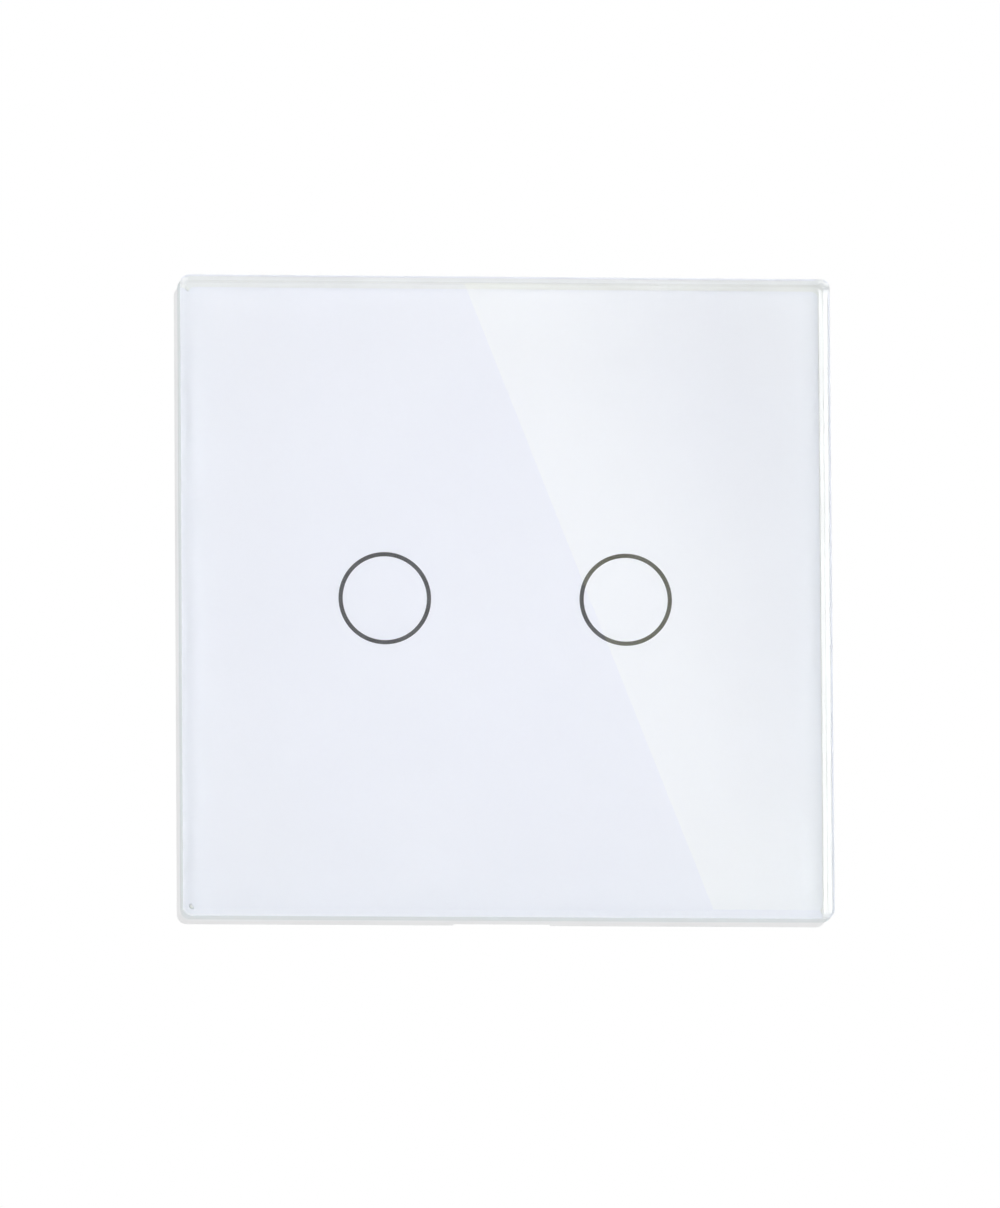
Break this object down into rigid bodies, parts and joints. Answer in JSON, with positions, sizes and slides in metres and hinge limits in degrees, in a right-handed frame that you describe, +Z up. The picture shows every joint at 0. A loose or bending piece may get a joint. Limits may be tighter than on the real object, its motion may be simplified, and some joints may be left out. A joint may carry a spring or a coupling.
{
  "type": "double light switch",
  "caption": "Double touch light switch: white glass panel with thin ring marks over a flush module with relays and screw terminals.",
  "frame": {"origin": "centre of the mounting plate's back face, on the wall", "axes": "+X to the right seen from the front, +Z up, -Y out of the wall towards the viewer"},
  "size_m": [0.081, 0.0368, 0.08],
  "materials": {
    "clear_glass": "polished",
    "white_print": "even printed white",
    "smoked_print": "translucent dark print",
    "foam_tape": "foam",
    "white_plastic": "satin moulded",
    "module_plastic": "fine moulded grain",
    "milky_plastic": "milky",
    "spring_steel": "drawn wire",
    "board_laminate": "solder resist",
    "chip_body": "moulded",
    "tinned_pin": "tinned",
    "lamp_body": "clear resin on white",
    "connector_plastic": "moulded",
    "screw_steel": "zinc plated",
    "plate_steel": "zinc plated sheet",
    "ferrite": "sintered",
    "enamelled_copper": "enamelled wire",
    "film_case": "moulded box",
    "can_sleeve": "sleeved can",
    "surge_ceramic": "dipped",
    "fuse_ceramic": "tube with metal caps",
    "relay_case_plastic": "moulded",
    "relay_base_plastic": "moulded",
    "white_nylon": "moulded",
    "soft_iron": "nickel plated",
    "contact_bronze": "bright rolled",
    "terminal_plastic": "moulded"
  },
  "bodies": {
    "module": {"board_header": "connector_plastic", "chip_leads": "tinned_pin", "choke_core": "ferrite", "choke_winding": "enamelled_copper", "contact_bars": "contact_bronze", "cover_screws": "screw_steel", "film_capacitor": "film_case", "front_cover": "module_plastic", "fuse_link": "fuse_ceramic", "header_pins": "contact_bronze", "header_socket": "connector_plastic", "indicator_leds": "lamp_body", "light_guide_left": "milky_plastic", "light_guide_right": "milky_plastic", "mounting_plate": "plate_steel", "power_board": "board_laminate", "rear_housing": "module_plastic", "relay_left_base": "relay_base_plastic", "relay_left_bobbin": "white_nylon", "relay_left_case": "relay_case_plastic", "relay_left_core": "soft_iron", "relay_left_fixed_contact": "contact_bronze", "relay_left_pins": "tinned_pin", "relay_left_winding": "enamelled_copper", "relay_left_yoke": "soft_iron", "relay_right_base": "relay_base_plastic", "relay_right_bobbin": "white_nylon", "relay_right_case": "relay_case_plastic", "relay_right_core": "soft_iron", "relay_right_fixed_contact": "contact_bronze", "relay_right_pins": "tinned_pin", "relay_right_winding": "enamelled_copper", "relay_right_yoke": "soft_iron", "smoothing_capacitor": "can_sleeve", "supply_chip": "chip_body", "surge_disc": "surge_ceramic", "terminal_block": "terminal_plastic", "touch_board": "board_laminate", "touch_chip": "chip_body", "touch_spring_left": "spring_steel", "touch_spring_right": "spring_steel"},
    "front_panel": {"glass_plate": "clear_glass", "white_backing": "white_print", "ring_mark_left": "smoked_print", "ring_mark_right": "smoked_print", "adhesive_frame": "foam_tape", "panel_frame": "white_plastic"},
    "screw_1": {"terminal_screw_1": "screw_steel"},
    "cage_1": {"terminal_cage_1": "plate_steel"},
    "screw_2": {"terminal_screw_2": "screw_steel"},
    "cage_2": {"terminal_cage_2": "plate_steel"},
    "screw_3": {"terminal_screw_3": "screw_steel"},
    "cage_3": {"terminal_cage_3": "plate_steel"},
    "armature_left": {"relay_left_armature": "soft_iron", "relay_left_moving_contact": "contact_bronze"},
    "armature_right": {"relay_right_armature": "soft_iron", "relay_right_moving_contact": "contact_bronze"}
  },
  "joints": [
    {"name": "panel_pull", "type": "slide", "parent": "module", "child": "front_panel", "axis": [0, -1, 0], "range_m": [0, 0.012]},
    {"name": "terminal_turn_1", "type": "hinge", "parent": "module", "child": "screw_1", "pos_m": [-0.0075, 0, -0.0165], "axis": [0, -1, 0], "range_deg": [0, 1800]},
    {"name": "cage_rise_1", "type": "slide", "parent": "module", "child": "cage_1", "axis": [0, 1, 0], "range_m": [0, 0.0025]},
    {"name": "terminal_turn_2", "type": "hinge", "parent": "module", "child": "screw_2", "pos_m": [0, 0, -0.0165], "axis": [0, -1, 0], "range_deg": [0, 1800]},
    {"name": "cage_rise_2", "type": "slide", "parent": "module", "child": "cage_2", "axis": [0, 1, 0], "range_m": [0, 0.0025]},
    {"name": "terminal_turn_3", "type": "hinge", "parent": "module", "child": "screw_3", "pos_m": [0.0075, 0, -0.0165], "axis": [0, -1, 0], "range_deg": [0, 1800]},
    {"name": "cage_rise_3", "type": "slide", "parent": "module", "child": "cage_3", "axis": [0, 1, 0], "range_m": [0, 0.0025]},
    {"name": "relay_tip_left", "type": "hinge", "parent": "module", "child": "armature_left", "pos_m": [-0.0136, 0.02035, -0.0072], "axis": [1, 0, 0], "range_deg": [0, 4], "stiffness_Nm_per_rad": 0.004, "springref_deg": -9.74},
    {"name": "relay_tip_right", "type": "hinge", "parent": "module", "child": "armature_right", "pos_m": [0.0136, 0.02035, -0.0072], "axis": [1, 0, 0], "range_deg": [0, 4], "stiffness_Nm_per_rad": 0.004, "springref_deg": -9.74}
  ],
  "couplings": [
    {"joint": "terminal_turn_1", "follows": "cage_rise_1", "rad_per_m": 12566},
    {"joint": "terminal_turn_2", "follows": "cage_rise_2", "rad_per_m": 12566},
    {"joint": "terminal_turn_3", "follows": "cage_rise_3", "rad_per_m": 12566}
  ]
}
